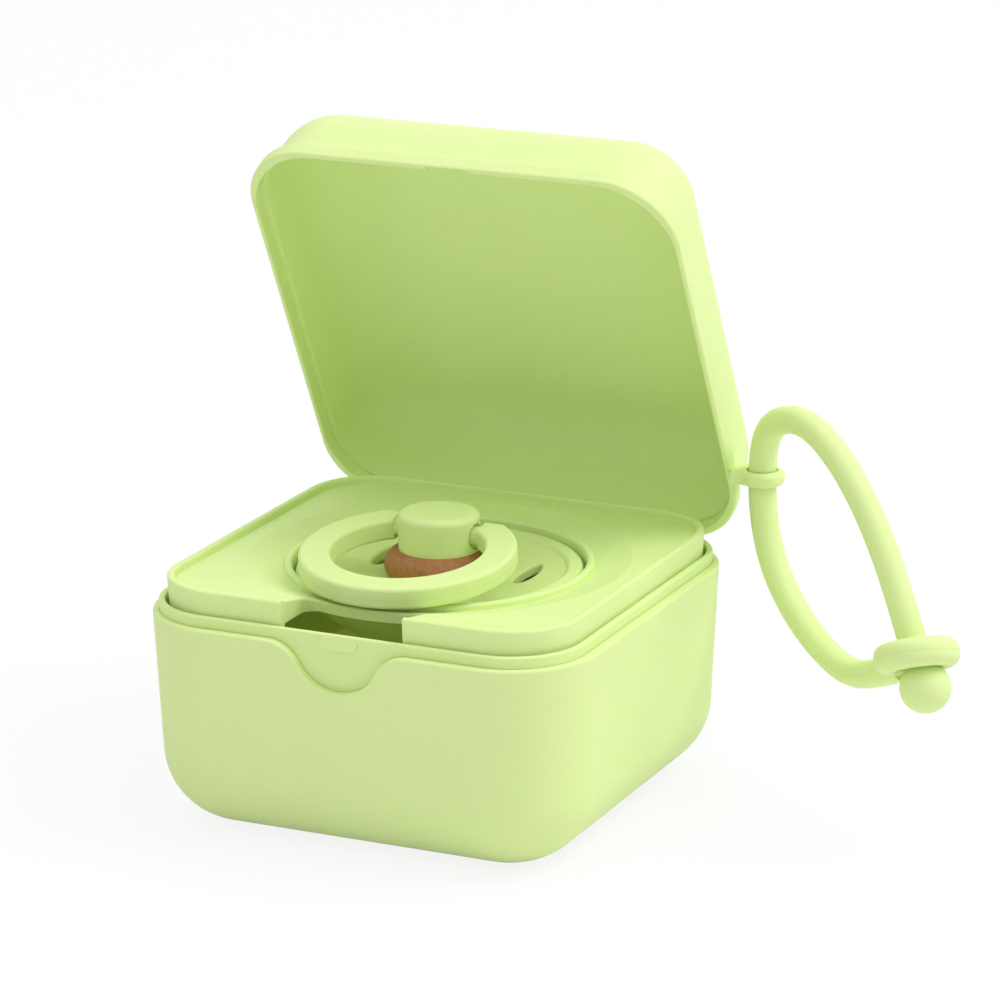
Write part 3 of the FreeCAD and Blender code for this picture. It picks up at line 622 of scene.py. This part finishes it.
class CASE_OT_base(bpy.types.Operator):
    """Finish the base: outer shell, liner and hinge pin"""

    bl_idname = "case.base"
    bl_label = "Base"

    def execute(self, context):
        colours = context.scene.case_colours
        finish = context.scene.case_finish
        dress("base_shell", green_plastic(context, "case_green"))
        lining = green_plastic(context, "liner_green")
        # Painted glow on the liner's inside surfaces, in place of light through the base's walls
        paint_glow_inside(lining, colours.painted_glow_colour, LINER_GLOW_ROOM, finish.liner_painted_glow)
        dress("base_liner", lining)
        steel = moulded_material(
            "pin_steel", colours.steel, STEEL_ROUGHNESS, STEEL_MOTTLE,
            finish.grain, finish.grain_depth, scatter=0.0)
        steel.node_tree.nodes["Principled BSDF"].inputs["Metallic"].default_value = 1.0
        dress("hinge_pin", steel)
        return {"FINISHED"}


class CASE_OT_lid(bpy.types.Operator):
    """Finish the lid"""

    bl_idname = "case.lid"
    bl_label = "Lid"

    def execute(self, context):
        dress("lid", bpy.data.materials["case_green"])
        return {"FINISHED"}


class CASE_OT_tray(bpy.types.Operator):
    """Finish the insert tray"""

    bl_idname = "case.tray"
    bl_label = "Insert tray"

    def execute(self, context):
        green = green_plastic(context, "tray_green")
        light = context.scene.case_colours.painted_glow_colour
        # Painted glow inside the tray's well, in place of light through its walls
        paint_glow_inside(green, light, TRAY_GLOW_ROOM, context.scene.case_finish.tray_painted_glow)
        dress("insert_tray", green)
        return {"FINISHED"}


class CASE_OT_pacifier(bpy.types.Operator):
    """Finish the pacifier: shield, teat, button and ring handle"""

    bl_idname = "case.pacifier"
    bl_label = "Pacifier"

    def execute(self, context):
        colours = context.scene.case_colours
        finish = context.scene.case_finish
        green = bpy.data.materials["case_green"]
        for node in ("pacifier_shield", "pacifier_button", "pacifier_handle"):
            dress(node, green)
        dress("pacifier_nipple", rubber_material(colours.rubber, finish.grain_depth))
        self.handle_seam(context, green)
        return {"FINISHED"}

    def handle_seam(self, context, green):
        """Seams round the ring handle at half its thickness, outside and inside."""
        sizes = context.scene.seam_sizes
        tilt = Matrix.Rotation(HANDLE_TILT, 3, "X")
        side = Vector((1.0, 0.0, 0.0))
        forward = tilt @ Vector((0.0, -1.0, 0.0))
        middle = HANDLE_PIVOT + tilt @ HANDLE_MIDDLE
        outside = sizes.handle_outer - sizes.seam_sink
        inside = sizes.handle_inner + sizes.seam_sink
        outer = arc(middle, outside, HANDLE_OUTER_SEAM, side, forward)
        inner = arc(middle, inside, HANDLE_INNER_SEAM, side, forward)
        line = seam(context, "handle_seam", [(outer, False), (inner, False)], green)
        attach(line, "handle")


class CASE_OT_strap(bpy.types.Operator):
    """Lay the strap's cord and finish its ring and ball"""

    bl_idname = "case.strap"
    bl_label = "Strap"

    def execute(self, context):
        colours = context.scene.case_colours
        finish = context.scene.case_finish
        sizes = context.scene.strap_sizes
        soft = moulded_material(
            "strap_silicone", colours.green, finish.silicone_roughness, finish.silicone_mottle,
            finish.grain, finish.grain_depth)
        ring = dress("strap_ring", soft)
        ball = dress("strap_ball", soft)
        loop = self.route(context, "strap_loop")
        curve = loop.data
        curve.bevel_depth = sizes.cord_radius
        curve.bevel_resolution = CORD_SECTION_STEPS
        curve.use_fill_caps = True
        curve.materials.append(soft)
        line = self.strap_seam(context, soft)
        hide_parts("strap_cord")
        for piece in (loop, line):
            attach(piece, "strap")
        return {"FINISHED"}

    def route(self, context, name):
        """Smooth line of the strap's cord."""
        curve = bpy.data.curves.new(name, "CURVE")
        curve.dimensions = "3D"
        curve.resolution_u = CORD_STEPS_PER_POINT
        spline = curve.splines.new("NURBS")
        spline.points.add(len(STRAP_ROUTE) - 1)
        for point, (out, up) in zip(spline.points, STRAP_ROUTE):
            point.co = (*strap_point(out, up), 1.0)
        spline.order_u = 3
        spline.use_endpoint_u = True
        spline.use_smooth = True
        loop = bpy.data.objects.new(name, curve)
        context.scene.collection.objects.link(loop)
        return loop

    def strap_seam(self, context, soft):
        """Seams along the lower run of the cord and round the strap's ring."""
        guide = self.route(context, "strap_guide")
        drawn = bpy.data.meshes.new_from_object(guide.evaluated_get(context.evaluated_depsgraph_get()))
        line = [vertex.co.copy() for vertex in drawn.vertices]
        bpy.data.objects.remove(guide)
        bpy.data.meshes.remove(drawn)
        first = int(len(line) * LOWER_RUN_SHARES[0])
        last = int(len(line) * LOWER_RUN_SHARES[1])
        sizes = context.scene.seam_sizes
        reach = STRAP_ACROSS * (context.scene.strap_sizes.cord_radius - sizes.seam_sink)
        lower = [point - reach for point in line[first:last]]
        along = RING_AXIS.orthogonal().normalized()
        across = RING_AXIS.cross(along)
        middle = strap_point(*RING_PLACE)
        equator = arc(middle, sizes.strap_ring - sizes.seam_sink, (0.0, math.tau), along, across)
        return seam(context, "strap_seam", [(lower, False), (equator[:-1], True)], soft)


class CASE_OT_stage(bpy.types.Operator):
    """Set the floor, the studio light and the camera"""

    bl_idname = "case.stage"
    bl_label = "Stage"

    def execute(self, context):
        stage = context.scene.case_stage
        scene = context.scene
        self.floor(scene, stage)
        self.sky(scene, stage)
        self.lamps(scene, stage)
        self.camera(scene, stage)
        scene.view_settings.view_transform = "Standard"
        return {"FINISHED"}

    def floor(self, scene, stage):
        """Pale floor that shows white and keeps the case's shadow."""
        half = stage.floor_size / 2
        mesh = bpy.data.meshes.new("floor")
        corners = [(-half, -half, 0.0), (half, -half, 0.0), (half, half, 0.0), (-half, half, 0.0)]
        mesh.from_pydata(corners, [], [(0, 1, 2, 3)])
        floor = bpy.data.objects.new("floor", mesh)
        scene.collection.objects.link(floor)
        material = bpy.data.materials.new("pale_floor")
        material.use_nodes = True
        tree = material.node_tree
        tree.nodes.clear()
        output = tree.nodes.new("ShaderNodeOutputMaterial")
        matte = tree.nodes.new("ShaderNodeBsdfDiffuse")
        matte.inputs["Color"].default_value = FLOOR_GREY
        glow = tree.nodes.new("ShaderNodeEmission")
        glow.inputs["Strength"].default_value = 1.0
        mix = tree.nodes.new("ShaderNodeMixShader")
        link(tree, self.seen(tree, FLOOR_WHITE_SHARE), mix.inputs["Fac"])
        link(tree, matte.outputs["BSDF"], mix.inputs[1])
        link(tree, glow.outputs["Emission"], mix.inputs[2])
        link(tree, mix.outputs["Shader"], output.inputs["Surface"])
        mesh.materials.append(material)

    def seen(self, tree, share):
        """Mask for rays that show the background: from the camera, or by gloss or glass."""
        path = tree.nodes.new("ShaderNodeLightPath")
        glossy = tree.nodes.new("ShaderNodeMath")
        glossy.operation = "ADD"
        link(tree, path.outputs["Is Camera Ray"], glossy.inputs[0])
        link(tree, path.outputs["Is Glossy Ray"], glossy.inputs[1])
        total = tree.nodes.new("ShaderNodeMath")
        total.operation = "ADD"
        total.use_clamp = True
        link(tree, glossy.outputs[0], total.inputs[0])
        link(tree, path.outputs["Is Transmission Ray"], total.inputs[1])
        part = tree.nodes.new("ShaderNodeMath")
        part.operation = "MULTIPLY"
        part.inputs[1].default_value = share
        link(tree, total.outputs[0], part.inputs[0])
        return part.outputs[0]

    def sky(self, scene, stage):
        """Soft light from all round, stronger from above, in front of a white background."""
        world = bpy.data.worlds.new("studio")
        scene.world = world
        world.use_nodes = True
        tree = world.node_tree
        tree.nodes.clear()
        output = tree.nodes.new("ShaderNodeOutputWorld")
        light = tree.nodes.new("ShaderNodeBackground")
        light.inputs["Color"].default_value = WHITE
        heading = tree.nodes.new("ShaderNodeTexCoord")
        parts = tree.nodes.new("ShaderNodeSeparateXYZ")
        rise = tree.nodes.new("ShaderNodeMath")
        rise.operation = "MULTIPLY_ADD"
        rise.inputs[1].default_value = stage.sky_rise
        rise.inputs[2].default_value = stage.sky_low
        link(tree, heading.outputs["Generated"], parts.inputs["Vector"])
        link(tree, parts.outputs["Z"], rise.inputs[0])
        link(tree, rise.outputs[0], light.inputs["Strength"])
        backdrop = tree.nodes.new("ShaderNodeBackground")
        backdrop.inputs["Color"].default_value = WHITE
        backdrop.inputs["Strength"].default_value = 1.0
        mix = tree.nodes.new("ShaderNodeMixShader")
        link(tree, self.seen(tree, 1.0), mix.inputs["Fac"])
        link(tree, light.outputs["Background"], mix.inputs[1])
        link(tree, backdrop.outputs["Background"], mix.inputs[2])
        link(tree, mix.outputs["Shader"], output.inputs["Surface"])

    def lamps(self, scene, stage):
        """Large soft lamp above, to the right and a little behind."""
        lamp = bpy.data.lights.new("key", "AREA")
        lamp.shape = "DISK"
        lamp.size = KEY_SIZE
        lamp.energy = stage.key_power
        key = bpy.data.objects.new("key", lamp)
        scene.collection.objects.link(key)
        turn = KEY_OFFSET.to_track_quat("Z", "Y").to_matrix().to_4x4()
        key.matrix_world = Matrix.Translation(KEY_AIM + KEY_OFFSET) @ turn

    def camera(self, scene, stage):
        """Camera at the photograph's viewing angle."""
        lens = bpy.data.cameras.new("photo_view")
        lens.sensor_fit = "HORIZONTAL"
        lens.sensor_width = SENSOR_WIDTH
        lens.lens = stage.lens
        lens.clip_start, lens.clip_end = VIEW_RANGE
        camera = bpy.data.objects.new("photo_view", lens)
        scene.collection.objects.link(camera)
        a, e, r = stage.azimuth, stage.elevation, stage.roll
        back = Vector((math.sin(a) * math.cos(e), -math.cos(a) * math.cos(e), math.sin(e)))
        level = Vector((math.cos(a), math.sin(a), 0.0))
        upright = back.cross(level)
        right = level * math.cos(r) + upright * math.sin(r)
        up = upright * math.cos(r) - level * math.sin(r)
        place = right * stage.across + up * stage.above + back * stage.distance
        turn = Matrix((right, up, back)).transposed().to_4x4()
        camera.matrix_world = Matrix.Translation(place) @ turn
        scene.camera = camera


class CASE_PT_panel(bpy.types.Panel):
    """Pieces of the pacifier case and their sizes"""

    bl_idname = "CASE_PT_panel"
    bl_label = "Pacifier case"
    bl_space_type = "VIEW_3D"
    bl_region_type = "UI"
    bl_category = "Pacifier case"

    def draw(self, context):
        layout = self.layout
        for operator in OPERATORS:
            layout.operator(operator.bl_idname)
        for name, group in GROUPS:
            settings = getattr(context.scene, name)
            layout.label(text=group.__doc__)
            for key in group.__annotations__:
                layout.prop(settings, key)


OPERATORS = (
    CASE_OT_base,
    CASE_OT_lid,
    CASE_OT_tray,
    CASE_OT_pacifier,
    CASE_OT_strap,
    CASE_OT_stage,
)
GROUPS = (
    ("case_colours", CaseColours),
    ("case_finish", CaseFinish),
    ("seam_sizes", SeamSizes),
    ("strap_sizes", StrapSizes),
    ("case_stage", StageSettings),
)


def register():
    for name, group in GROUPS:
        bpy.utils.register_class(group)
        setattr(bpy.types.Scene, name, PointerProperty(type=group))
    for operator in OPERATORS:
        bpy.utils.register_class(operator)
    bpy.utils.register_class(CASE_PT_panel)


def unregister():
    bpy.utils.unregister_class(CASE_PT_panel)
    for operator in reversed(OPERATORS):
        bpy.utils.unregister_class(operator)
    for name, group in reversed(GROUPS):
        delattr(bpy.types.Scene, name)
        bpy.utils.unregister_class(group)


def main():
    register()
    bpy.ops.case.base()
    bpy.ops.case.lid()
    bpy.ops.case.tray()
    bpy.ops.case.pacifier()
    bpy.ops.case.strap()
    bpy.ops.case.stage()


if __name__ == "__main__":
    main()
